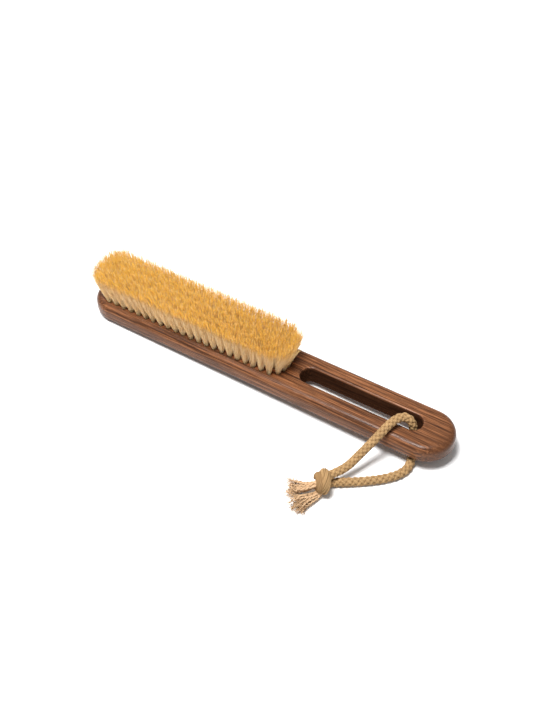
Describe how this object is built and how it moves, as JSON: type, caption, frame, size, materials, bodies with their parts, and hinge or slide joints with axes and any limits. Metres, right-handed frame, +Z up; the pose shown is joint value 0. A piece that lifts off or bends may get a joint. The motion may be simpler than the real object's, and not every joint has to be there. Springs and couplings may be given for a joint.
{
  "type": "clothes brush",
  "caption": "Long wooden clothes brush lying bristles up: slotted round-ended handle, dense golden bristle field, and a knotted rope loop through the slot.",
  "frame": {"origin": "on the floor, under the middle of the brush without its rope", "axes": "+X along the handle towards its slotted end, +Z up out of the bristles, +Y away from the side the rope's knot lies on"},
  "size_m": [0.35, 0.1368, 0.0512],
  "materials": {
    "wood": "oiled, open-grained, satin",
    "bristle": "natural bristle, golden at the tips and cream at the roots",
    "rope": "braided hemp, matt",
    "wire": "drawn wire"
  },
  "bodies": {
    "root": {"handle_block": "wood", "back_cover": "wood", "bristle_rank_01": "bristle", "bristle_rank_02": "bristle", "bristle_rank_03": "bristle", "bristle_rank_04": "bristle", "bristle_rank_05": "bristle", "bristle_rank_06": "bristle", "bristle_rank_07": "bristle", "bristle_rank_08": "bristle", "bristle_rank_09": "bristle", "bristle_rank_10": "bristle", "bristle_rank_11": "bristle", "bristle_rank_12": "bristle", "bristle_rank_13": "bristle", "bristle_rank_14": "bristle", "bristle_rank_15": "bristle", "bristle_rank_16": "bristle", "bristle_rank_17": "bristle", "bristle_rank_18": "bristle", "bristle_rank_19": "bristle", "bristle_rank_20": "bristle", "bristle_rank_21": "bristle", "bristle_rank_22": "bristle", "bristle_rank_23": "bristle", "bristle_rank_24": "bristle", "drawing_wire_1": "wire", "drawing_wire_2": "wire", "drawing_wire_3": "wire", "drawing_wire_4": "wire", "drawing_wire_5": "wire", "rope_loop": "rope", "rope_knot": "rope", "rope_tail_1": "rope", "rope_tail_2": "rope"}
  },
  "joints": []
}
